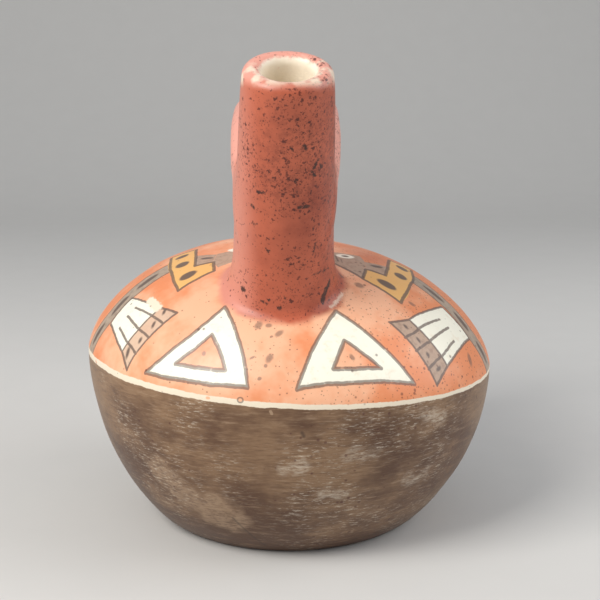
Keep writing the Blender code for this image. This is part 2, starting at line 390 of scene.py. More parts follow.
def unevenness(points, amount):
    """Slow rises and dips of a hand-built surface, from a few crossing waves."""
    spread = np.column_stack([points / CENTIMETRE, np.ones(len(points))])
    waves = 0.0
    for height, first, second in HAND_WAVES:
        waves = waves + height * np.sin(spread @ first) * np.sin(spread @ second)
    return amount * waves / HIGHEST_WAVE


# Sides of the rough turned shapes, and the rough bar's cuts and its width in half widths
BODY_SIDES, HOLLOW_SIDES, SPOUT_SIDES, BORE_SIDES = 96, 72, 48, 32
BAR_CUTS = 15
BAR_WIDTH = 1.9
# How much coarser the first rough shapes are than the clay's grain
ROUGH_GRAIN = 1.3
# How often points are moved onto the true surface, and the least slope, squared, that they trust
SETTLE_ROUNDS = 3
LEAST_STEEPNESS = 0.25
# How deep under the outside a face is taken to be inside, in lip roundings
INSIDE_DEPTH = 1.6


def turned(outline, steps, place=None):
    """A closed turned shape under construction, moved to its place."""
    mesh = bmesh.new()
    profile = [mesh.verts.new((radius, 0.0, height)) for radius, height in outline]
    edges = [mesh.edges.new(pair) for pair in zip(profile, profile[1:])]
    bmesh.ops.spin(mesh, geom=profile + edges, cent=(0, 0, 0), axis=(0, 0, 1), angle=2 * math.pi, steps=steps)
    bmesh.ops.remove_doubles(mesh, verts=mesh.verts, dist=1e-6)
    if place:
        bmesh.ops.transform(mesh, matrix=place, verts=mesh.verts)
    return mesh


def bent_bar(form):
    """A plain bent bar under construction, as the core of the bridge."""
    half_span, bend, centre = strap_bend(form)
    mesh = bmesh.new()
    bmesh.ops.create_cube(mesh, size=1.0)
    long_edges = [edge for edge in mesh.edges if abs(edge.verts[0].co.y - edge.verts[1].co.y) > 0.5]
    bmesh.ops.subdivide_edges(mesh, edges=long_edges, cuts=BAR_CUTS)
    for vert in mesh.verts:
        turn = 2 * vert.co.y * math.asin(half_span / bend)
        ring = bend + vert.co.z * form.strap_thick
        across = STRAP_SIDE_SET + vert.co.x * BAR_WIDTH * form.strap
        vert.co = (across, ring * math.sin(turn), centre + ring * math.cos(turn))
    return mesh


def run_together(parts):
    """One shape under construction that holds several."""
    joined = bmesh.new()
    for part in parts:
        bmesh.ops.recalc_face_normals(part, faces=part.faces)
        data = bpy.data.meshes.new("part")
        part.to_mesh(data)
        part.free()
        joined.from_mesh(data)
        bpy.data.meshes.remove(data)
    return joined


def mesh_object(name, mesh):
    """A new object in the scene from a mesh under construction."""
    data = bpy.data.meshes.new(name)
    mesh.to_mesh(data)
    mesh.free()
    made = bpy.data.objects.new(name, data)
    bpy.context.scene.collection.objects.link(made)
    return made


def applied(source, name):
    """A new object that holds what a source with modifiers comes to, and the source is removed."""
    graph = bpy.context.evaluated_depsgraph_get()
    data = bpy.data.meshes.new_from_object(source.evaluated_get(graph))
    data.name = name
    bpy.data.objects.remove(source)
    made = bpy.data.objects.new(name, data)
    bpy.context.scene.collection.objects.link(made)
    return made


def rough_block(form, shell):
    """The vessel roughed out: turned shapes and a bar run together, then hollowed."""
    spouts = [turned(shell.spout, SPOUT_SIDES, spout_place(form, side)) for side in (-1, 1)]
    body = turned(shell.body[::2], BODY_SIDES)
    outside = mesh_object("rough_block", run_together([body, bent_bar(form)] + spouts))
    bores = [turned(shell.bore, BORE_SIDES, spout_place(form, side)) for side in (-1, 1)]
    inside = mesh_object("rough_hollow", run_together([turned(shell.hollow[::2], HOLLOW_SIDES)] + bores))
    for rough in (outside, inside):
        remesh = rough.modifiers.new("Run together", "REMESH")
        remesh.mode = "VOXEL"
        remesh.voxel_size = form.grain * ROUGH_GRAIN
    inside = applied(inside, "rough_hollow")
    hollow = outside.modifiers.new("Hollow out", "BOOLEAN")
    hollow.operation = "DIFFERENCE"
    hollow.solver = "MANIFOLD"
    hollow.object = inside
    even = outside.modifiers.new("Even out", "REMESH")
    even.mode = "VOXEL"
    even.voxel_size = form.grain
    made = applied(outside, "painted_vessel")
    bpy.data.objects.remove(inside)
    return made


def settle(vessel, shell, form):
    """Moves every point of the roughed-out clay onto the true surface, then makes it uneven."""
    count = len(vessel.data.vertices)
    points = np.empty(count * 3)
    vessel.data.vertices.foreach_get("co", points)
    points = points.reshape(-1, 3)
    for _ in range(SETTLE_ROUNDS):
        here = shell.distance(points)
        slope = shell.slope(points, here)
        steep = np.maximum((slope ** 2).sum(axis=1), LEAST_STEEPNESS)
        points = points - slope * (np.clip(here, -form.grain, form.grain) / steep)[:, None]
    flat = np.clip(points[:, 2] / form.foot_round, 0, 1)
    points = points + slope * (unevenness(points, form.unevenness) * flat)[:, None]
    vessel.data.vertices.foreach_set("co", points.ravel())
    vessel.data.update()


def sort_faces(vessel, shell, form):
    """Gives each face the place of its finish: dome, spout, bowl or inside."""
    count = len(vessel.data.polygons)
    centres = np.empty(count * 3)
    vessel.data.polygons.foreach_get("center", centres)
    centres = centres.reshape(-1, 3)
    finish = np.where(level(centres, form) < form.shoulder + BAND_MIDDLE * MM, BOWL, DOME)
    finish[shell.limbs_distance(centres) < shell.body_distance(centres)] = SPOUT
    finish[shell.outside(centres) < -INSIDE_DEPTH * form.lip] = INSIDE
    vessel.data.polygons.foreach_set("material_index", finish.astype(np.int32))
    vessel.data.shade_smooth()


# Where the finish changes from bowl to dome, in millimetres over the shoulder
BAND_MIDDLE = -0.05
# Shapes on the dome laid out flat, in millimetres: x, y and how far the side
# to the next corner sags
LEFT_TRIANGLE = [(-24.9, -60.2, -3.7), (-62.4, -74.6, 3.1), (-17.2, -94.3, 1.2)]
LEFT_TRIANGLE_INNER = [(-30.6, -72.3, -0.7), (-47.0, -78.6, 0.7), (-26.0, -87.2, 0.2)]
RIGHT_TRIANGLE = [(17.7, -61.4, 0.3), (3.0, -95.7, 1.4), (53.2, -79.5, -0.8)]
RIGHT_TRIANGLE_INNER = [(21.5, -74.6, 0.0), (17.1, -87.0, 0.2), (37.1, -81.1, 0.0)]
LEFT_WING_FEATHERS = [(-66.5, -29.4, 0.0), (-78.5, -34.7, 0.0), (-72.8, -57.7, 0.0), (-52.4, -49.0, 0.0)]
LEFT_WING_TIP = [(-52.4, -49.0, 0.0), (-72.8, -57.7, 0.0), (-71.5, -66.8, 0.0), (-44.8, -56.1, 0.0)]
RIGHT_WING_FEATHERS = [(63.9, -28.4, 0.0), (47.8, -52.7, 0.0), (67.7, -62.5, 0.0), (79.3, -33.8, 0.0)]
RIGHT_WING_TIP = [(47.8, -52.7, 0.0), (39.5, -58.7, 0.0), (64.0, -73.5, 0.0), (67.7, -62.5, 0.0)]
# Brush lines: both ends
LEFT_WING_LINES = [(-64.4, -39.3, -55.8, -51.6), (-68.5, -41.1, -62.6, -54.3), (-72.8, -44.2, -69.0, -56.6),
                   (-55.8, -51.6, -51.3, -58.2), (-62.6, -54.3, -58.4, -61.2), (-69.0, -56.6, -65.5, -64.6)]
RIGHT_WING_LINES = [(62.1, -40.2, 52.0, -55.5), (66.8, -41.1, 57.7, -57.5), (70.0, -46.5, 64.2, -60.1),
                    (52.0, -56.0, 46.2, -63.4), (57.7, -57.8, 51.4, -66.5), (63.5, -60.9, 58.6, -70.6)]
# Heads, necks and collars: corners as above
LEFT_HEAD = [(-14.0, -14.5, 0.0), (-28.3, -18.0, 0.0), (-29.9, -26.5, 0.0), (-27.8, -32.9, 0.0),
             (-14.0, -25.0, 0.0)]
LEFT_NECK = [(-28.5, -18.5, 0.0), (-38.0, -14.0, 0.0), (-37.1, -26.2, 0.0), (-29.9, -26.5, 0.0)]
RIGHT_HEAD = [(14.0, -15.5, 0.0), (14.0, -26.5, 0.0), (28.5, -36.8, 0.0), (29.7, -27.4, 0.0),
              (29.5, -19.9, 0.0), (27.6, -13.8, 0.0)]
RIGHT_NECK = [(29.5, -19.9, 0.0), (29.7, -27.4, 0.0), (38.0, -27.3, 0.0), (39.3, -16.6, 0.0)]
LEFT_COLLAR = [[(-29.4, -26.6, 0.0), (-48.0, -26.4, 0.0), (-44.2, -43.0, 0.0), (-29.3, -35.0, 0.0)],
               [(-38.2, -0.8, 0.0), (-49.5, -0.8, 1.0), (-48.0, -27.4, 0.0), (-37.1, -27.2, 0.0)]]
RIGHT_COLLAR = [[(28.7, -37.2, 0.0), (44.3, -44.6, 1.0), (48.6, -27.3, 0.0), (29.7, -27.4, 0.0)],
                [(38.0, -28.3, 0.0), (48.4, -28.3, 0.5), (51.6, -0.8, 0.0), (41.5, -0.8, 0.0)]]
# Outlines of the collars: both ends of each line
LEFT_COLLAR_LINES = [(-29.6, -26.6, -29.3, -35.0), (-29.3, -35.0, -44.2, -43.0), (-44.2, -43.0, -48.4, -21.0),
                     (-48.4, -21.0, -49.5, -0.8), (-37.1, -26.4, -38.2, -0.8), (-29.6, -26.6, -37.1, -26.4),
                     (-49.5, -0.8, -38.2, -0.8)]
RIGHT_COLLAR_LINES = [(28.5, -36.8, 29.7, -27.4), (29.7, -27.4, 38.0, -27.3), (38.0, -27.3, 41.4, -0.8),
                      (28.5, -37.0, 44.2, -44.5), (44.2, -44.5, 50.4, -20.0), (50.4, -20.0, 51.6, -0.8),
                      (51.6, -0.8, 41.4, -0.8), (28.5, -36.8, 14.0, -26.5)]
# Strips from the collars down to the band: points on the middle line
LEFT_STRIP = [(-50.0, -18.5), (-64.4, -23.6), (-78.4, -28.0), (-97.5, -29.5)]
RIGHT_STRIP = [(52.0, -16.6), (69.8, -23.0), (80.4, -28.2), (97.0, -28.2)]
# Spots: x, y, length, width, turn in degrees from the x axis
COLLAR_SPOTS = [(-39.8, -33.4, 8.0, 5.2, 28), (-43.1, -20.4, 6.0, 5.6, 20), (-44.0, -8.1, 6.0, 5.0, 15),
                (38.3, -34.9, 8.2, 5.0, -20), (44.7, -20.9, 5.6, 6.0, -10), (46.5, -7.7, 5.4, 6.0, -10)]
STRIP_SPOTS = [(-59.0, -21.6, 11.0, 4.0, 20), (-73.2, -26.6, 11.0, 4.0, 18), (-87.6, -28.8, 10.0, 4.0, 5),
               (60.5, -19.6, 11.0, 4.0, -20), (75.0, -25.4, 10.0, 4.0, -26), (89.0, -28.2, 10.0, 4.0, 0),
               (34.5, -20.9, 6.0, 2.0, 27), (-32.6, -21.0, 6.0, 2.0, -20)]
WING_SPOTS = [(-50.6, -52.5, 3.0, 1.6, 60), (-55.6, -56.4, 3.2, 1.6, 55), (-62.8, -59.9, 2.6, 1.8, 50),
              (-69.8, -60.7, 4.6, 2.2, 60), (46.2, -57.3, 2.4, 1.4, -30), (52.3, -60.9, 2.6, 1.4, -40),
              (57.3, -64.8, 2.2, 1.6, -40), (63.3, -67.1, 3.4, 1.4, 60)]
DOME_SMUDGES = [(-12.0, -71.1, 3.6, 2.8, 60), (-8.1, -71.5, 2.6, 1.8, 0), (-6.9, -76.4, 1.2, 1.0, 0),
                (-3.9, -75.1, 3.8, 2.2, 40), (-7.9, -85.2, 3.8, 2.4, 50), (-9.6, -87.8, 1.6, 1.4, 0),
                (-12.2, -92.0, 1.8, 1.2, 0), (-34.6, -78.8, 1.9, 1.9, 0), (24.7, -80.6, 2.6, 1.8, -40),
                (26.8, -42.7, 3.6, 3.0, -10), (19.3, -39.5, 3.4, 1.8, -30), (-14.9, -84.5, 2.4, 0.9, 20),
                (80.2, -46.8, 3.0, 5.4, 25), (49.1, -41.3, 3.0, 2.2, -30)]
RED_PATCHES = [(32.0, -9.0, 15.0, 17.0, 0)]
EYES = [(21.7, -18.1, 7.6, 4.6, 20), (-20.6, -15.8, 7.6, 4.6, -20)]
# Marks on the clay itself: x, y and z of both ends in millimetres, and half the width
SOOT_MARKS = [(14.0, -54.3, 103.2, 12.7, -55.7, 99.9, 0.9), (12.5, -56.0, 100.4, 11.5, -56.7, 96.6, 1.1),
              (13.6, -56.0, 108.2, 10.5, -60.4, 107.5, 0.35), (10.5, -60.4, 107.5, 7.9, -62.4, 106.9, 0.3),
              (-9.8, -61.1, 97.6, -7.9, -61.6, 96.5, 0.4), (-7.1, -62.1, 98.1, -7.1, -62.1, 98.1, 0.6),
              (-1.6, -63.0, 98.9, -1.6, -63.0, 98.9, 0.5), (-3.5, -62.1, 95.2, -3.5, -62.1, 95.2, 0.7),
              (-10.3, -75.5, 136.8, -8.3, -76.6, 136.6, 0.6), (3.1, -75.5, 131.6, 6.1, -74.5, 132.1, 0.6),
              (7.9, -79.1, 144.9, 9.2, -79.2, 147.5, 0.6), (0.5, -84.7, 151.7, 1.1, -84.4, 151.0, 0.5),
              (4.6, -84.0, 152.3, 5.3, -83.3, 151.3, 0.6), (8.9, -66.6, 118.6, 7.9, -65.5, 114.3, 0.35),
              (-7.9, -68.9, 116.9, -6.9, -68.9, 115.9, 0.4), (-16.8, -63.8, 124.7, -10.8, -70.8, 125.7, 0.25),
              (-12.7, -71.8, 132.1, -11.7, -72.3, 131.2, 0.5), (9.9, -77.7, 145.8, 10.5, -76.7, 145.0, 0.5),
              (1.8, -80.1, 141.1, 2.4, -79.3, 139.8, 0.5), (7.3, -78.9, 143.6, 8.3, -77.6, 142.2, 0.6),
              (-16.3, -57.3, 101.0, -16.3, -57.3, 101.0, 1.2)]
BEAK_MARKS = [(17.4, -19.3, 106.5, 18.2, -25.0, 105.4, 0.4), (19.4, -22.3, 105.8, 19.8, -26.0, 105.0, 0.2)]
BLOTCH_MARKS = [(-51.4, -36.3, 92.9, -47.7, -43.4, 91.4, 1.7)]
FOOT_MARKS = [(18.7, -48.4, 97.4, 16.4, -53.4, 95.2, 0.7), (16.4, -53.4, 95.2, 14.5, -55.6, 94.2, 0.6)]
BOWL_CHIPS = [(-6.5, -79.8, 63.5, -6.1, -79.8, 62.7, 0.5), (-39.7, -60.9, 31.0, -39.7, -60.9, 31.0, 0.4)]
BAND_CHIP_RIMS = [(-16.8, -78.1, 67.0, -16.6, -78.1, 67.0, 1.1)]
BAND_CHIPS = [(-16.8, -78.1, 67.0, -16.6, -78.1, 67.0, 0.55), (-28.1, -74.8, 66.8, -27.4, -74.8, 66.8, 0.5)]
BOWL_NICKS = [(4.1, -79.3, 55.8, 4.7, -79.2, 54.6, 0.6), (-20.5, -63.3, 18.7, -14.9, -59.8, 11.4, 0.4),
              (-14.9, -59.8, 11.4, -9.3, -55.1, 4.6, 0.4)]
BOWL_SCUFFS = [(12.5, -72.5, 32.0, 18.2, -70.3, 29.6, 2.0), (47.4, -64.2, 57.2, 53.9, -58.6, 53.9, 2.4),
               (43.2, -59.4, 31.3, 48.6, -55.7, 32.2, 2.0), (21.3, -75.0, 46.4, 28.3, -72.9, 46.7, 1.6),
               (-1.7, -76.6, 41.6, 5.1, -77.1, 43.2, 1.8)]
TAN_PATCHES = [(-46.9, -57.0, 34.5, -32.4, -60.5, 22.5, 6.0), (-32.4, -60.5, 22.5, -20.9, -61.7, 16.4, 6.5),
               (-26.6, -65.4, 26.3, -17.9, -63.7, 18.1, 4.0)]
# Where soot gathers
SOOT_CENTRE = (9.0, -80.0, 148.0)
# How far the back half's painting stands off from the middle, and how soon that eases out
BACK_SHIFT = 20.0
BACK_EASE = 30.0
# How the radius and the drop from the top add up to the way along the dome
MAP_POWER = 1.5
# Half widths of the brush lines and of the strips
LINE_HALF = 0.52
COLLAR_LINE_HALF = 0.7
TRIANGLE_LINE_HALF = 0.78
STRIP_HALF = 5.0
STRIP_EDGE_HALF = 5.9
# How sharp painted edges are: 4 goes from nothing to full paint in a quarter of a millimetre
PAINT_EDGE = 4.0
# Layers of specks on the spouts: spacing, size and strength
SPECK_LAYERS = [(0.8, 0.42, 0.5), (1.4, 0.40, 0.7), (2.5, 0.28, 0.85)]
# A pupil's share of its eye
PUPIL_SHARE = 0.42
# Soft noises: turns per millimetre, on the floor per metre, then detail, roughness and flatness
NOISES = {
    "red edge": (0.09, 3.0, 0.5, 1.0),
    "dome clouds": (0.045, 4.0, 0.6, 1.0),
    "limb clouds": (0.07, 5.0, 0.65, 1.0),
    "cream clouds": (0.30, 3.0, 0.6, 1.0),
    "grey clouds": (0.5, 3.0, 0.6, 1.0),
    "dome gloss": (0.2, 3.0, 0.5, 1.0),
    "dome relief": (0.55, 4.0, 0.6, 1.0),
    "band edges": (0.16, 3.0, 0.7, 1.0),
    "band wear": (0.14, 4.0, 0.65, 1.0),
    "speck crowds": (0.03, 2.0, 0.5, 1.0),
    "bare clay": (0.3, 4.0, 0.6, 1.0),
    "clay relief": (0.8, 4.0, 0.7, 1.0),
    "soot drift": (0.06, 4.0, 0.65, 1.0),
    "soot haze": (0.35, 4.0, 0.75, 1.0),
    "soot breaks": (0.9, 3.0, 0.7, 1.0),
    "mouth edge": (0.35, 4.0, 0.7, 1.0),
    "lip wear": (0.22, 2.0, 0.5, 1.0),
    "spout gloss": (0.25, 3.0, 0.5, 1.0),
    "spout relief": (0.45, 4.0, 0.6, 1.0),
    "long streaks": (0.09, 4.0, 0.6, 9.0),
    "short streaks": (0.20, 4.0, 0.7, 9.0),
    "bowl clouds": (0.022, 5.0, 0.62, 1.7),
    "fine scuffs": (0.34, 3.0, 0.7, 5.0),
    "scuffed areas": (0.035, 2.0, 0.5, 1.0),
    "scuff grain": (0.30, 4.0, 0.7, 4.0),
    "bowl relief": (0.6, 3.0, 0.6, 1.0),
    "floor grain": (40.0, 4.0, 0.5, 1.0),
}
# Where each finish begins and where it is full: first along a noise, then in millimetres
RAMPS = {
    "rubbed slip": (0.44, 0.74),
    "deep red": (0.34, 0.92),
    "freckles": (0.34, 0.68),
    "cream clouds": (0.52, 0.80),
    "grey blots": (0.42, 0.72),
    "faded lines": (0.18, 0.46),
    "band wear": (0.28, 0.36),
    "speck crowds": (0.40, 0.72),
    "heavy specks": (0.40, 0.68),
    "soot haze": (0.42, 0.66),
    "soot breaks": (0.28, 0.46),
    "lip wear": (1.56, 1.78),
    "bowl clouds": (0.52, 0.76),
    "light streaks": (0.50, 0.68),
    "dark streaks": (0.50, 0.38),
    "fine scuffs": (0.52, 0.72),
    "scuffed areas": (0.42, 0.62),
    "scuff grain": (0.36, 0.62),
    "red around the spouts": (27.5, 24.0),
    "rubbed around the spouts": (64.0, 30.0),
    "red above the dome": (112.0, 118.0),
    "strap along y": (58.0, 51.0),
    "strap above": (122.0, 130.0),
    "left flank": (-9.0, -20.0),
    "pale lips": (168.5, 175.0),
    "worn lips": (170.0, 173.0),
    "around the soot": (34.0, 8.0),
    "left wing": (-36.0, -44.0),
    "band's lower edge": (-1.15, -0.85),
    "band's upper edge": (1.0, 0.7),
}
# What each millimetre to the right adds to the pale slip (less, since its painted sheen grows to the left),
# to depth of red, freckles, specks and soot, and takes off the band's upper edge
RUBBED_AND_SHEEN_RIGHT = -0.0010
DEEP_RIGHT = 0.008
FRECKLES_RIGHT = 0.004
SPECKS_RIGHT = 0.002
SOOT_RIGHT = 0.007
BAND_RIGHT = 0.006
# What each millimetre up adds to the bowl's clouds, so the bowl is darker towards the bottom, and each
# millimetre off the middle to the lips' wear
CLOUDS_UP = 0.0032
WEAR_OUTWARD = 0.014
# What being near the spouts adds to the pale slip, as painted sheen on the dome there, and being near the
# soot to the crowd of specks
RUBBED_AND_SHEEN_NEAR = 0.16
SOOT_NEAR = 0.22
# The share of specks where they are fewest
FEWEST_SPECKS = 0.12
# How far ragged edges wander, and over what the slip ends in a mouth, in millimetres
RED_RAGGED = 5.0
BAND_RAGGED = 1.3
MOUTH_RAGGED = 2.6
MOUTH_FADE = 1.2
# How much paler the red slip is painted on the left flank, all painted sheen from the light on that side, and
# on the lips, partly worn slip and partly painted sheen
FLANK_SHEEN = 0.6
LIP_PALE = 0.95
# How strongly the grey lies on heads and wing tips, and at the left, where it is also paler
GREY = 0.86
LEFT_GREY = 0.66
# Brush lines: coat, strength where they are faded, and what is added where they aren't
LINE_STRENGTHS = [("thin line", 0.42, 0.35), ("line", 0.55, 0.3)]
# Roughness of the surface: how much it varies, and the least of it
DOME_DULLNESS = (0.22, 0.30)
SPOUT_DULLNESS = (0.22, 0.28)


class Nodes:
    """Short ways to add and join shader nodes in one tree."""

    def __init__(self, tree):
        self.tree = tree

    def add(self, kind, links=None, **settings):
        """A node with its settings, and values or links for its sockets by name or number."""
        node = self.tree.nodes.new(kind)
        for name, value in settings.items():
            setattr(node, name, value)
        for socket, value in (links or {}).items():
            self.feed(node.inputs[socket], value)
        return node

    def feed(self, socket, value):
        """Links another socket, or sets a plain value."""
        if isinstance(value, bpy.types.NodeSocket):
            self.tree.links.new(value, socket)
        elif socket.type == "RGBA":
            socket.default_value = (*value[:3], 1.0)
        else:
            socket.default_value = value

    def math(self, operation, *values):
        """One sum; returns its value."""
        return self.add("ShaderNodeMath", dict(enumerate(values)), operation=operation).outputs[0]

    def held(self, value):
        """A value kept from 0 to 1. A node's own clamp is worked out last and holds too many values up."""
        return self.math("MINIMUM", self.math("MAXIMUM", value, 0.0), 1.0)

    def vector(self, operation, *values, scale=None):
        """One vector sum; returns its vector, or its value for a length, a distance or a dot product."""
        node = self.add("ShaderNodeVectorMath", dict(enumerate(values)), operation=operation)
        if scale is not None:
            self.feed(node.inputs["Scale"], scale)
        single = operation in ("LENGTH", "DISTANCE", "DOT_PRODUCT")
        return node.outputs["Value" if single else "Vector"]

    def noise(self, point, name):
        """One of the soft noises, around a half."""
        scale, detail, roughness, flatness = NOISES[name]
        if flatness > 1:
            point = self.vector("MULTIPLY", point, (1.0, 1.0, flatness))
        links = {"Vector": point, "Scale": scale, "Detail": detail, "Roughness": roughness}
        return self.add("ShaderNodeTexNoise", links).outputs["Fac"]

    def ramp(self, value, low, high):
        """0 under low, 1 over high and smooth between."""
        links = {"Value": value, "From Min": low, "From Max": high}
        settings = {"interpolation_type": "SMOOTHSTEP", "clamp": False}
        return self.add("ShaderNodeMapRange", links, **settings).outputs["Result"]

    def between(self, value, name):
        """One of the ramps by its name."""
        return self.ramp(value, *RAMPS[name])

    def patches(self, point, name):
        """The noise of a name taken through its ramp: 0 in some areas and 1 in others."""
        return self.between(self.noise(point, name), name)

    def coat(self, under, over, mask, strength=1.0):
        """One colour over another where the mask is 1, at most as strong as given."""
        if strength < 1:
            mask = self.math("MULTIPLY", mask, strength)
        node = self.add("ShaderNodeMix", data_type="RGBA")
        for socket, value in ((node.inputs[0], mask), (node.inputs[6], under), (node.inputs[7], over)):
            self.feed(socket, value)
        return node.outputs[2]

    def group(self, tree, **links):
        """A node group; underscores in the names of its sockets stand for spaces."""
        node = self.add("ShaderNodeGroup", node_tree=tree)
        for name, value in links.items():
            self.feed(node.inputs[name.replace("_", " ")], value)
        return node.outputs


def new_group(name, inputs, outputs):
    """An empty shader node group with named sockets; returns its nodes, inputs and output node."""
    tree = bpy.data.node_groups.new(name, "ShaderNodeTree")
    for title, kind in inputs.items():
        tree.interface.new_socket(title, in_out="INPUT", socket_type="NodeSocket" + kind)
    for title, kind in outputs.items():
        tree.interface.new_socket(title, in_out="OUTPUT", socket_type="NodeSocket" + kind)
    nodes = Nodes(tree)
    return tree, nodes, nodes.add("NodeGroupInput").outputs, nodes.add("NodeGroupOutput").inputs


def dome_map_group(form):
    """Lays the dome out flat, in millimetres. The back half repeats the front, a little way off."""
    tree, n, given, out = new_group("dome_map", {"Point": "Vector"}, {"Map": "Vector", "Above Band": "Float"})
    axes = n.add("ShaderNodeSeparateXYZ", {0: given["Point"]}).outputs
    tilted = n.math("MULTIPLY_ADD", axes["X"], form.tilt / form.belly, axes["Z"])
    top = (form.shoulder + form.dome_rise) / MM
    drop = n.math("MAXIMUM", n.math("SUBTRACT", top, tilted), 0.0)
    flat = n.add("ShaderNodeCombineXYZ", {"X": axes["X"], "Y": axes["Y"]}).outputs[0]
    radius = n.math("MAXIMUM", n.vector("LENGTH", flat), 0.01)
    power = n.math("ADD", n.math("POWER", radius, MAP_POWER), n.math("POWER", drop, MAP_POWER))
    stretch = n.math("DIVIDE", n.math("POWER", power, 1 / MAP_POWER), radius)
    front = n.math("MULTIPLY_ADD", n.math("LESS_THAN", axes["Y"], 0.0), 2.0, -1.0)
    laid = n.vector("SCALE", flat, scale=n.math("MULTIPLY", stretch, front))
    apart = n.math("MULTIPLY", n.add("ShaderNodeSeparateXYZ", {0: laid}).outputs["Y"], 1 / BACK_EASE)
    behind = n.math("MULTIPLY", n.math("GREATER_THAN", axes["Y"], 0.0), BACK_SHIFT)
    shift = n.math("MULTIPLY", n.math("EXPONENT", apart), behind)
    n.feed(out["Map"], n.vector("ADD", laid, n.add("ShaderNodeCombineXYZ", {"Y": shift}).outputs[0]))
    n.feed(out["Above Band"], n.math("SUBTRACT", tilted, form.shoulder / MM))
    return tree


def wobble_group():
    """Shifts points a little, so that what is drawn with them looks drawn by hand."""
    inputs = {"Point": "Vector", "Wave": "Float", "Amount": "Float"}
    tree, n, given, out = new_group("hand_wobble", inputs, {"Point": "Vector"})
    scale = n.math("DIVIDE", 1.0, given["Wave"])
    links = {"Vector": given["Point"], "Scale": scale, "Detail": 1.0}
    noise = n.add("ShaderNodeTexNoise", links).outputs["Color"]
    shift = n.vector("SCALE", n.vector("SUBTRACT", noise, (0.5, 0.5, 0.5)), scale=given["Amount"])
    n.feed(out["Point"], n.vector("ADD", given["Point"], shift))
    return tree


def brush_line_group():
    """A brush line with a sag, and on which side of it a point lies, in millimetres."""
    inputs = {"Point": "Vector", "Start": "Vector", "Along": "Vector", "Across": "Vector",
              "Length": "Float", "Sag": "Float", "Half Width": "Float"}
    tree, n, given, out = new_group("brush_line", inputs, {"Line": "Float", "Side": "Float"})
    seen = n.vector("SUBTRACT", given["Point"], given["Start"])
    along = n.vector("DOT_PRODUCT", seen, given["Along"])
    across = n.vector("DOT_PRODUCT", seen, given["Across"])
    held = n.held(along)
    bow = n.math("MULTIPLY", n.math("SUBTRACT", 1.0, held), held)
    side = n.math("MULTIPLY_ADD", bow, n.math("MULTIPLY", given["Sag"], 4.0), across)
    past = n.math("MULTIPLY", n.math("SUBTRACT", along, held), given["Length"])
    gap = n.vector("LENGTH", n.add("ShaderNodeCombineXYZ", {"X": past, "Y": side}).outputs[0])
    edge = n.math("SUBTRACT", given["Half Width"], gap)
    n.feed(out["Line"], n.math("MULTIPLY_ADD", edge, PAINT_EDGE, 0.5))
    n.feed(out["Side"], side)
    return tree


def paint_spot_group():
    """An oval spot of paint."""
    inputs = {"Point": "Vector", "Centre": "Vector", "Long": "Vector", "Short": "Vector", "Edge": "Float"}
    tree, n, given, out = new_group("paint_spot", inputs, {"Spot": "Float"})
    seen = n.vector("SUBTRACT", given["Point"], given["Centre"])
    axes = {"X": n.vector("DOT_PRODUCT", seen, given["Long"]),
            "Y": n.vector("DOT_PRODUCT", seen, given["Short"])}
    reach = n.vector("LENGTH", n.add("ShaderNodeCombineXYZ", axes).outputs[0])
    n.feed(out["Spot"], n.math("MULTIPLY_ADD", n.math("SUBTRACT", 1.0, reach), given["Edge"], 0.5))
    return tree


def specks_group():
    """Small round specks of uneven size, which gather where the crowd is high."""
    inputs = {"Point": "Vector", "Spacing": "Float", "Size": "Float", "Crowd": "Float"}
    tree, n, given, out = new_group("clay_specks", inputs, {"Specks": "Float"})
    scale = n.math("DIVIDE", 1.0, given["Spacing"])
    cells = n.add("ShaderNodeTexVoronoi", {"Vector": given["Point"], "Scale": scale, "Randomness": 1.0})
    chance = n.add("ShaderNodeSeparateColor", {0: cells.outputs["Color"]}).outputs
    kept = n.math("LESS_THAN", chance["Red"], given["Crowd"])
    reach = n.math("MULTIPLY", n.math("MULTIPLY_ADD", chance["Green"], 0.8, 0.2), given["Size"])
    gap = n.math("SUBTRACT", reach, cells.outputs["Distance"])
    soft = n.held(n.math("MULTIPLY_ADD", gap, 9.0, 0.5))
    n.feed(out["Specks"], n.math("MULTIPLY", soft, kept))
    return tree


def short_mark_group():
    """A short mark on the clay, the same from every side."""
    inputs = {"Point": "Vector", "Start": "Vector", "Run": "Vector", "Along": "Vector",
              "Half Width": "Float", "Edge": "Float"}
    tree, n, given, out = new_group("short_mark", inputs, {"Mark": "Float"})
    seen = n.vector("SUBTRACT", given["Point"], given["Start"])
    held = n.held(n.vector("DOT_PRODUCT", seen, given["Along"]))
    gap = n.vector("LENGTH", n.vector("SUBTRACT", seen, n.vector("SCALE", given["Run"], scale=held)))
    inside = n.math("SUBTRACT", given["Half Width"], gap)
    n.feed(out["Mark"], n.math("MULTIPLY_ADD", inside, given["Edge"], 0.5))
    return tree


def short_marks(n, point, groups, rows, edge=PAINT_EDGE):
    """One mask for several short marks."""
    mask = 0.0
    for x0, y0, z0, x1, y1, z1, half in rows:
        run = Vector((x1 - x0, y1 - y0, z1 - z0))
        made = n.group(groups["mark"], Point=point, Start=(x0, y0, z0), Run=run,
                       Along=run / max(run.length_squared, 0.01), Half_Width=half, Edge=edge)["Mark"]
        mask = n.math("MAXIMUM", mask, made)
    return n.math("MINIMUM", mask, 1.0)


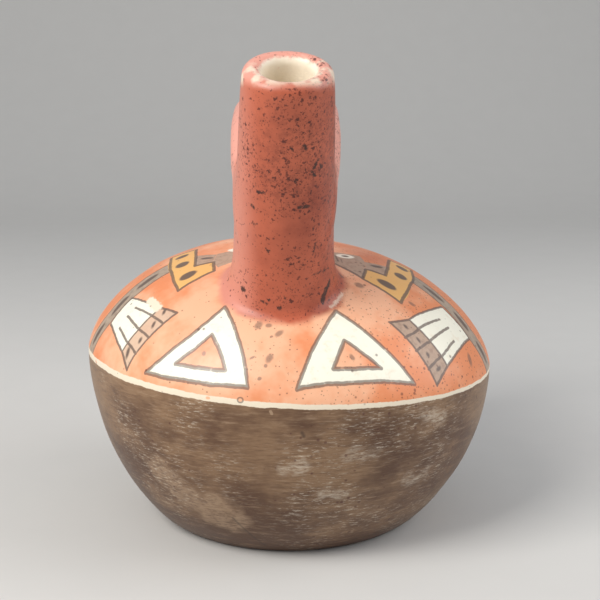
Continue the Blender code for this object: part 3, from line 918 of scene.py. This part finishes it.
def slip_group(form, paint, specks):
    """The slip on the outside above the shoulder: orange on the dome, red on spouts and bridge."""
    outputs = {"Color": "Color", "From Axis": "Float"}
    tree, n, given, out = new_group("vessel_slip", {"Point": "Vector"}, outputs)
    point = given["Point"]
    gaps = []
    for side in (-1, 1):
        mouth, down = spout_axis(form, side)
        cross = n.vector("CROSS_PRODUCT", n.vector("SUBTRACT", point, mouth / MM), down)
        gaps.append(n.vector("LENGTH", cross))
    axis = n.math("MINIMUM", *gaps)
    near = n.math("MULTIPLY_ADD", n.noise(point, "red edge"), RED_RAGGED, axis)
    place = n.add("ShaderNodeSeparateXYZ", {0: point}).outputs
    around = n.between(near, "red around the spouts")
    red = n.math("MAXIMUM", around, n.between(place["Z"], "red above the dome"))
    cloud = n.noise(point, "dome clouds")
    # Pale slip in clouds, and as painted sheen more at the left and around the spouts
    rubbed_and_sheen = n.math("MULTIPLY_ADD", place["X"], RUBBED_AND_SHEEN_RIGHT, cloud)
    rubbed_and_sheen = n.math("MULTIPLY_ADD", n.between(axis, "rubbed around the spouts"), RUBBED_AND_SHEEN_NEAR, rubbed_and_sheen)
    dome = n.coat(paint.orange, paint.orange_pale, n.between(rubbed_and_sheen, "rubbed slip"))
    # Deeper red in clouds, and more of it towards the right
    deep = n.math("MULTIPLY_ADD", place["X"], DEEP_RIGHT, n.noise(point, "limb clouds"))
    limbs = n.coat(paint.red, paint.red_deep, n.between(deep, "deep red"))
    # Paler red on the bridge's top and the lips, partly thin slip and partly painted sheen, and on the left
    # flank, all painted sheen
    off_middle = n.math("ABSOLUTE", place["Y"])
    strap = n.math("MULTIPLY", n.between(off_middle, "strap along y"), n.between(place["Z"], "strap above"))
    flank = n.math("MULTIPLY", n.between(place["X"], "left flank"), FLANK_SHEEN)
    lip = n.math("MULTIPLY", n.between(place["Z"], "pale lips"), LIP_PALE)
    thin = n.math("MAXIMUM", n.math("MAXIMUM", strap, flank), lip)
    slip = n.coat(dome, n.coat(limbs, paint.red_pale, thin), red)
    crowd = n.between(n.math("MULTIPLY_ADD", place["X"], FRECKLES_RIGHT, cloud), "freckles")
    freckles = n.group(specks, Point=point, Spacing=1.2, Size=0.30, Crowd=crowd)["Specks"]
    slip = n.coat(slip, paint.maroon, freckles, strength=0.5)
    n.feed(out["Color"], slip)
    n.feed(out["From Axis"], axis)
    return tree


def burnish_group():
    """Marks of the burnishing pebble: long level streaks, and the scuffs that crossed them since."""
    tree, n, given, out = new_group("burnish", {"Point": "Vector"},
                                    {"Streaks": "Float", "Scuffs": "Float", "Clouds": "Float"})
    point = given["Point"]
    long = n.noise(point, "long streaks")
    short = n.noise(point, "short streaks")
    n.feed(out["Streaks"], n.math("MULTIPLY_ADD", short, 0.5, n.math("MULTIPLY", long, 0.5)))
    n.feed(out["Clouds"], n.noise(point, "bowl clouds"))
    scuffs = n.math("MULTIPLY", n.patches(point, "fine scuffs"), n.patches(point, "scuffed areas"))
    n.feed(out["Scuffs"], scuffs)
    return tree


def band_group(paint, groups):
    """The cream band at the shoulder, with ragged edges and chips, and dark specks over everything."""
    inputs = {"Point": "Vector", "Above Band": "Float", "Color": "Color"}
    tree, n, given, out = new_group("band_and_specks", inputs, {"Color": "Color"})
    point = given["Point"]
    ragged = n.math("MULTIPLY_ADD", n.noise(point, "band edges"), BAND_RAGGED, -BAND_RAGGED / 2)
    level_line = n.math("ADD", given["Above Band"], ragged)
    across = n.add("ShaderNodeSeparateXYZ", {0: point}).outputs["X"]
    top_line = n.math("MULTIPLY_ADD", across, BAND_RIGHT, level_line)
    lower, upper = n.between(level_line, "band's lower edge"), n.between(top_line, "band's upper edge")
    band = n.math("MULTIPLY", lower, upper)
    worn = n.math("MULTIPLY", band, n.patches(point, "band wear"))
    base = n.coat(given["Color"], paint.band, worn)
    drift = n.math("MULTIPLY_ADD", across, SPECKS_RIGHT, n.noise(point, "speck crowds"))
    crowd = n.between(drift, "speck crowds")
    specks = n.group(groups["specks"], Point=point, Spacing=3.0, Size=0.20, Crowd=crowd)["Specks"]
    base = n.coat(base, paint.maroon, specks, strength=0.6)
    base = n.coat(base, paint.line, short_marks(n, point, groups, BAND_CHIP_RIMS), strength=0.7)
    n.feed(out["Color"], n.coat(base, paint.orange_pale, short_marks(n, point, groups, BAND_CHIPS)))
    return tree


def unslipped_clay_group(paint):
    """Colour of the clay where no slip lies."""
    tree, n, given, out = new_group("unslipped_clay", {"Point": "Vector"}, {"Color": "Color"})
    n.feed(out["Color"], n.coat(paint.clay, paint.band, n.noise(given["Point"], "bare clay")))
    return tree


def new_material(name):
    """A material with an empty Principled shader; returns it, its nodes and the shader."""
    material = bpy.data.materials.new(name)
    material.use_nodes = True
    nodes = Nodes(material.node_tree)
    shader = material.node_tree.nodes["Principled BSDF"]
    shader.inputs["Metallic"].default_value = 0.0
    return material, nodes, shader


def place_in_mm(nodes):
    """Where a point is on the vessel, in millimetres."""
    where = nodes.add("ShaderNodeTexCoord").outputs["Object"]
    return nodes.vector("SCALE", where, scale=1 / MM)


def relief(nodes, shader, height, depth):
    """Fine relief in millimetres on a material's surface."""
    links = {"Height": height, "Strength": 1.0, "Distance": depth * MM}
    nodes.feed(shader.inputs["Normal"], nodes.add("ShaderNodeBump", links).outputs["Normal"])


class Painter:
    """Lays coats of paint on the laid-out dome with shared brush groups."""

    def __init__(self, nodes, point, line_group, spot_group):
        self.nodes, self.point = nodes, point
        self.line_group, self.spot_group = line_group, spot_group
        self.coats = {}

    def lay(self, coat, mask):
        """Adds a mask to a coat as soon as it is made, because a shader holds few values at a time."""
        self.coats[coat] = self.nodes.math("MAXIMUM", self.coats[coat], mask) if coat in self.coats else mask

    def line(self, coat, start, end, half=LINE_HALF, sag=0.0):
        """One brush line; returns the side of it that a point lies on."""
        start, end = Vector((*start, 0.0)), Vector((*end, 0.0))
        run = end - start
        across = Vector((-run.y, run.x, 0.0)).normalized()
        made = self.nodes.group(self.line_group, Point=self.point, Start=start, Length=run.length,
                                Along=run / run.length_squared, Across=across, Sag=sag, Half_Width=half)
        if coat:
            self.lay(coat, made["Line"])
        return made["Side"]

    def lines(self, coat, rows, half=LINE_HALF):
        """Straight brush lines, each given by its two ends."""
        for row in rows:
            self.line(coat, row[:2], row[2:], half)

    def route(self, coat, points, half):
        """Brush lines through points."""
        for start, end in zip(points, points[1:]):
            self.line(coat, start, end, half)

    def shape(self, coat, corners, outline=None, half=LINE_HALF):
        """A filled shape whose corners run against the clock, each with the sag of the side after it."""
        inside = None
        for (x0, y0, sag), (x1, y1, _) in zip(corners, corners[1:] + corners[:1]):
            side = self.line(outline, (x0, y0), (x1, y1), half, sag)
            inside = self.nodes.math("MINIMUM", inside, side) if inside else side
        self.lay(coat, self.nodes.math("MULTIPLY_ADD", inside, PAINT_EDGE, 0.5))

    def spots(self, coat, rows, edge, grow=1.0):
        """Oval spots; the higher the edge, the sharper they are."""
        for x, y, long, short, turn in rows:
            turn = math.radians(turn)
            long_axis = Vector((math.cos(turn), math.sin(turn), 0.0)) * (2 / (long * grow))
            short_axis = Vector((-math.sin(turn), math.cos(turn), 0.0)) * (2 / (short * grow))
            made = self.nodes.group(self.spot_group, Point=self.point, Centre=(x, y, 0.0), Long=long_axis,
                                    Short=short_axis, Edge=edge)
            self.lay(coat, made["Spot"])


def draw_motifs(brush):
    """Every motif on the front half of the dome, coat by coat."""
    for outer, window in ((LEFT_TRIANGLE, LEFT_TRIANGLE_INNER), (RIGHT_TRIANGLE, RIGHT_TRIANGLE_INNER)):
        brush.shape("triangle", outer, "thin line", TRIANGLE_LINE_HALF)
        brush.shape("window", window, "thin line", TRIANGLE_LINE_HALF)
    for feathers, tip, rows in ((LEFT_WING_FEATHERS, LEFT_WING_TIP, LEFT_WING_LINES),
                                (RIGHT_WING_FEATHERS, RIGHT_WING_TIP, RIGHT_WING_LINES)):
        brush.shape("feathers", feathers, "line")
        brush.shape("grey", tip, "line")
        brush.lines("line", rows)
    for shape in (LEFT_HEAD, LEFT_NECK, RIGHT_HEAD, RIGHT_NECK):
        brush.shape("grey", shape)
    for part in LEFT_COLLAR + RIGHT_COLLAR:
        brush.shape("ochre", part)
    brush.lines("line", LEFT_COLLAR_LINES + RIGHT_COLLAR_LINES, COLLAR_LINE_HALF)
    for strip in (LEFT_STRIP, RIGHT_STRIP):
        brush.route("strip", strip, STRIP_HALF)
        brush.route("strip edge", strip, STRIP_EDGE_HALF)
    brush.spots("spot", COLLAR_SPOTS + STRIP_SPOTS, edge=4.0)
    brush.spots("spot", WING_SPOTS, edge=1.2)
    brush.spots("smudge", DOME_SMUDGES, edge=1.6)
    brush.spots("patch", RED_PATCHES, edge=1.0)
    brush.spots("eye", EYES, edge=4.0)
    brush.spots("pupil", EYES, edge=2.0, grow=PUPIL_SHARE)


def dome_material(paint, groups):
    """The painted dome: slip, then cream, grey and ochre shapes, then outlines and spots."""
    material, n, shader = new_material("painted_dome")
    point = place_in_mm(n)
    laid = n.group(groups["map"], Point=point)
    slow = n.group(groups["wobble"], Point=laid["Map"], Wave=14.0, Amount=1.3)["Point"]
    drawn = n.group(groups["wobble"], Point=slow, Wave=2.2, Amount=0.5)["Point"]
    brush = Painter(n, drawn, groups["line"], groups["spot"])
    draw_motifs(brush)
    coats = {name: n.held(mask) for name, mask in brush.coats.items()}

    base = n.group(groups["slip"], Point=point)["Color"]
    drawn_near = n.group(groups["wobble"], Point=point, Wave=1.0, Amount=1.8)["Point"]
    base = n.coat(base, paint.band, short_marks(n, drawn_near, groups, FOOT_MARKS, edge=1.0), strength=0.55)
    cream = n.coat(paint.cream, paint.band, n.patches(point, "cream clouds"))
    white = n.math("MAXIMUM", n.math("SUBTRACT", coats["triangle"], coats["window"]), coats["feathers"])
    base = n.coat(base, paint.red, coats["patch"], strength=0.35)
    base = n.coat(base, cream, white)
    grey_cloud = n.noise(point, "grey clouds")
    grey = n.coat(paint.grey, paint.line, n.between(grey_cloud, "grey blots"), strength=0.4)
    base = n.coat(base, paint.line, coats["strip edge"], strength=0.8)
    left = n.between(n.add("ShaderNodeSeparateXYZ", {0: point}).outputs["X"], "left wing")
    base = n.coat(base, grey, coats["strip"])
    # Heads and wing tips at the left get a paler, weaker grey
    paler_grey = n.coat(grey, paint.band, left, strength=0.45)
    thickness = n.math("MULTIPLY_ADD", left, LEFT_GREY - GREY, GREY)
    painted = n.math("MULTIPLY", coats["grey"], thickness)
    base = n.coat(base, paler_grey, painted)
    base = n.coat(base, paint.ochre, coats["ochre"])
    faded = n.between(grey_cloud, "faded lines")
    for coat, least, gain in LINE_STRENGTHS:
        strength = n.math("MULTIPLY", coats[coat], n.math("MULTIPLY_ADD", faded, gain, least))
        base = n.coat(base, paint.line, strength)
    base = n.coat(base, paint.line, coats["spot"], strength=0.95)
    base = n.coat(base, paint.line, coats["smudge"], strength=0.62)
    base = n.coat(base, paint.cream, coats["eye"])
    base = n.coat(base, paint.line, coats["pupil"])
    base = n.coat(base, paint.soot, short_marks(n, point, groups, BEAK_MARKS), strength=0.6)
    base = n.coat(base, paint.band, short_marks(n, drawn_near, groups, BLOTCH_MARKS, edge=1.5))
    banded = n.group(groups["band"], Point=point, Above_Band=laid["Above Band"], Color=base)["Color"]
    n.feed(shader.inputs["Base Color"], banded)
    n.feed(shader.inputs["Roughness"], n.math("MULTIPLY_ADD", n.noise(point, "dome gloss"), *DOME_DULLNESS))
    relief(n, shader, n.noise(point, "dome relief"), depth=0.06)
    return material


def spout_material(form, paint, groups):
    """Red slip on the spouts and the bridge, peppered with maroon specks, worn on the lips."""
    material, n, shader = new_material("red_slip")
    point = place_in_mm(n)
    slip = n.group(groups["slip"], Point=point)
    base = slip["Color"]
    place = n.add("ShaderNodeSeparateXYZ", {0: point}).outputs
    drawn = n.group(groups["wobble"], Point=point, Wave=1.0, Amount=1.8)["Point"]
    drift = n.math("MULTIPLY_ADD", place["X"], SOOT_RIGHT, n.noise(point, "soot drift"))
    close = n.between(n.vector("DISTANCE", point, SOOT_CENTRE), "around the soot")
    heavy = n.between(n.math("MULTIPLY_ADD", close, SOOT_NEAR, drift), "heavy specks")
    haze = n.math("MULTIPLY", close, n.patches(point, "soot haze"))
    base = n.coat(base, paint.maroon, haze, strength=0.35)
    heavy = n.math("MULTIPLY_ADD", heavy, 1 - FEWEST_SPECKS, FEWEST_SPECKS)
    for spacing, size, strength in SPECK_LAYERS:
        specks = n.group(groups["specks"], Point=drawn, Spacing=spacing, Size=size, Crowd=heavy)["Specks"]
        base = n.coat(base, paint.maroon, specks, strength)
    broken = n.patches(point, "soot breaks")
    soot = n.math("MULTIPLY", short_marks(n, drawn, groups, SOOT_MARKS, edge=2.0), broken)
    base = n.coat(base, paint.soot, soot, strength=0.9)
    base = n.coat(base, paint.band, short_marks(n, drawn, groups, FOOT_MARKS, edge=1.0), strength=0.55)
    rim = (form.bore + form.lip) / MM
    ragged = n.math("MULTIPLY_ADD", n.noise(point, "mouth edge"), MOUTH_RAGGED, slip["From Axis"])
    mouth = n.ramp(ragged, rim, rim - MOUTH_FADE)
    outward = n.math("MULTIPLY_ADD", n.math("ABSOLUTE", place["Y"]), WEAR_OUTWARD, n.noise(point, "lip wear"))
    patches = n.math("MULTIPLY", n.between(outward, "lip wear"), n.between(place["Z"], "worn lips"))
    base = n.coat(base, paint.band, patches, strength=0.8)
    bare = n.group(groups["clay"], Point=point)["Color"]
    base = n.coat(base, bare, mouth)
    n.feed(shader.inputs["Base Color"], base)
    n.feed(shader.inputs["Roughness"], n.math("MULTIPLY_ADD", n.noise(point, "spout gloss"), *SPOUT_DULLNESS))
    relief(n, shader, n.noise(point, "spout relief"), depth=0.08)
    return material


def bowl_material(paint, groups):
    """Burnished brown lower body, with the lower edge of the band."""
    material, n, shader = new_material("burnished_bowl")
    point = place_in_mm(n)
    laid = n.group(groups["map"], Point=point)
    marks = n.group(groups["burnish"], Point=point)
    height = n.add("ShaderNodeSeparateXYZ", {0: point}).outputs["Z"]
    # Dark patches, with more of them towards the bottom
    clouds = n.math("MULTIPLY_ADD", height, CLOUDS_UP, marks["Clouds"])
    base = n.coat(paint.bowl_dark, paint.bowl, n.between(clouds, "bowl clouds"))
    base = n.coat(base, paint.bowl_tan, n.between(marks["Streaks"], "light streaks"), strength=0.5)
    base = n.coat(base, paint.bowl_dark, n.between(marks["Streaks"], "dark streaks"), strength=0.5)
    drawn = n.group(groups["wobble"], Point=point, Wave=6.0, Amount=9.0)["Point"]
    grain = n.patches(point, "scuff grain")
    patches = short_marks(n, drawn, groups, TAN_PATCHES, edge=0.25)
    base = n.coat(base, paint.bowl_tan, n.math("MULTIPLY", patches, n.math("MULTIPLY_ADD", grain, 0.5, 0.2)))
    scuffs = n.math("MULTIPLY", short_marks(n, drawn, groups, BOWL_SCUFFS, edge=0.25), grain)
    base = n.coat(base, paint.clay, n.math("MAXIMUM", marks["Scuffs"], scuffs), strength=0.42)
    base = n.coat(base, paint.soot, short_marks(n, point, groups, BOWL_NICKS, edge=1.5), strength=0.5)
    base = n.coat(base, paint.bowl_tan, short_marks(n, point, groups, BOWL_CHIPS), strength=0.7)
    banded = n.group(groups["band"], Point=point, Above_Band=laid["Above Band"], Color=base)["Color"]
    n.feed(shader.inputs["Base Color"], banded)
    rough = n.math("MULTIPLY_ADD", marks["Scuffs"], 0.2, n.math("MULTIPLY_ADD", marks["Streaks"], 0.25, 0.28))
    n.feed(shader.inputs["Roughness"], rough)
    relief(n, shader, n.math("ADD", marks["Streaks"], n.noise(point, "bowl relief")), depth=0.08)
    return material


def inside_material(groups):
    """Bare clay in the bores and the hollow."""
    material, n, shader = new_material("bare_clay")
    point = place_in_mm(n)
    n.feed(shader.inputs["Base Color"], n.group(groups["clay"], Point=point)["Color"])
    shader.inputs["Roughness"].default_value = 0.8
    relief(n, shader, n.noise(point, "clay relief"), depth=0.2)
    return material


class VESSEL_OT_form(bpy.types.Operator):
    """Form the vessel's clay as one closed shell and paint it"""
    bl_idname = "vessel.form"
    bl_label = "Form and paint the vessel"

    def execute(self, context):
        form, paint = context.scene.vessel_form, context.scene.vessel_paint
        shell = Shell(form)
        vessel = rough_block(form, shell)
        settle(vessel, shell, form)
        groups = {"map": dome_map_group(form), "wobble": wobble_group(), "line": brush_line_group(),
                  "spot": paint_spot_group(), "specks": specks_group(), "burnish": burnish_group(),
                  "mark": short_mark_group(), "clay": unslipped_clay_group(paint)}
        groups["slip"] = slip_group(form, paint, groups["specks"])
        groups["band"] = band_group(paint, groups)
        vessel.data.materials.clear()
        for finish in (dome_material(paint, groups), spout_material(form, paint, groups),
                       bowl_material(paint, groups), inside_material(groups)):
            vessel.data.materials.append(finish)
        sort_faces(vessel, shell, form)
        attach(vessel, "root")
        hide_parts("bowl", "dome", "front_spout", "back_spout", "bridge")
        return {"FINISHED"}


# The floor's sheet: half its width, half its length, the y at which it starts and that at which
# it begins to curve up, the radius of that curve, and its rows of faces
SHEET_HALF_WIDTH = 2.4
SHEET_HALF_LENGTH = 1.6
SHEET_FRONT = -1.2
SHEET_FLAT = 0.9
SHEET_BEND = 0.5
SHEET_ROWS = 40
# The darker grain of the floor, as a share of its colour
FLOOR_SHADE = 0.96
# Each light's place, size and tint; both face the same point
KEY_LIGHT = ((-0.58, -0.52, 0.74), 0.5, (1.0, 0.98, 0.95))
FILL_LIGHT = ((0.8, -0.1, 0.5), 0.7, (0.95, 0.97, 1.0))
LIGHT_TARGET = (0.0, 0.0, 0.08)
SKY_TINT = (0.92, 0.95, 1.0, 1.0)
SENSOR_WIDTH = 36


def soft_light(name, place, size, tint, power):
    """A large square light that faces the vessel."""
    data = bpy.data.lights.new(name, "AREA")
    data.shape = "SQUARE"
    data.size = size
    data.energy = power
    data.color = tint
    light = bpy.data.objects.new(name, data)
    light.location = place
    light.rotation_euler = (Vector(LIGHT_TARGET) - Vector(place)).to_track_quat("-Z", "Y").to_euler()
    bpy.context.scene.collection.objects.link(light)


def curved_sheet():
    """A sheet under construction that lies flat under the vessel and curves up behind it."""
    sheet = bmesh.new()
    bmesh.ops.create_grid(sheet, x_segments=1, y_segments=SHEET_ROWS, size=1.0)
    for vert in sheet.verts:
        run = (vert.co.y + 1) * SHEET_HALF_LENGTH + SHEET_FRONT
        past = max(run - SHEET_FLAT, 0.0)
        curve = min(past / SHEET_BEND, math.pi / 2)
        upright = max(past - SHEET_BEND * math.pi / 2, 0.0)
        vert.co = (vert.co.x * SHEET_HALF_WIDTH, min(run, SHEET_FLAT) + SHEET_BEND * math.sin(curve),
                   SHEET_BEND * (1 - math.cos(curve)) + upright)
    return sheet


class VESSEL_OT_stage(bpy.types.Operator):
    """Set the pale floor, the soft light and the camera"""
    bl_idname = "vessel.stage"
    bl_label = "Set the stage"

    def execute(self, context):
        look = context.scene.vessel_stage
        floor = mesh_object("floor", curved_sheet())
        floor.data.shade_smooth()
        material, n, shader = new_material("pale_floor")
        grain = n.noise(n.add("ShaderNodeTexCoord").outputs["Object"], "floor grain")
        darker = look.floor * FLOOR_SHADE
        n.feed(shader.inputs["Base Color"], n.coat(look.floor, darker, grain))
        shader.inputs["Roughness"].default_value = 0.9
        floor.data.materials.append(material)
        soft_light("key_light", *KEY_LIGHT, look.key)
        soft_light("fill_light", *FILL_LIGHT, look.fill)
        world = bpy.data.worlds.new("soft_sky")
        world.use_nodes = True
        sky = world.node_tree.nodes["Background"].inputs
        sky["Color"].default_value = SKY_TINT
        sky["Strength"].default_value = look.sky
        context.scene.world = world
        context.scene.view_settings.view_transform = "Standard"
        data = bpy.data.cameras.new("camera")
        data.lens = look.lens
        data.sensor_width = SENSOR_WIDTH
        camera = bpy.data.objects.new("camera", data)
        camera.location = (0, -look.distance, look.height)
        camera.rotation_euler = (math.pi / 2 - look.down, 0, -look.aside)
        context.scene.collection.objects.link(camera)
        context.scene.camera = camera
        return {"FINISHED"}


class VESSEL_PT_panel(bpy.types.Panel):
    """The steps that make the vessel and its stage"""
    bl_idname = "VESSEL_PT_panel"
    bl_label = "Double Spout Vessel"
    bl_space_type = "VIEW_3D"
    bl_region_type = "UI"
    bl_category = "Vessel"

    def draw(self, context):
        for step in (VESSEL_OT_form, VESSEL_OT_stage):
            self.layout.operator(step.bl_idname)


CLASSES = (VesselForm, VesselPaint, StageLook, VESSEL_OT_form, VESSEL_OT_stage, VESSEL_PT_panel)


def register():
    """Registers the classes and the settings that they use."""
    for item in CLASSES:
        bpy.utils.register_class(item)
    bpy.types.Scene.vessel_form = PointerProperty(type=VesselForm)
    bpy.types.Scene.vessel_paint = PointerProperty(type=VesselPaint)
    bpy.types.Scene.vessel_stage = PointerProperty(type=StageLook)


def unregister():
    """Takes the settings and the classes away again."""
    del bpy.types.Scene.vessel_stage
    del bpy.types.Scene.vessel_paint
    del bpy.types.Scene.vessel_form
    for item in reversed(CLASSES):
        bpy.utils.unregister_class(item)


def main():
    """Makes the vessel and its stage."""
    register()
    bpy.ops.vessel.form()
    bpy.ops.vessel.stage()


if __name__ == "__main__":
    main()
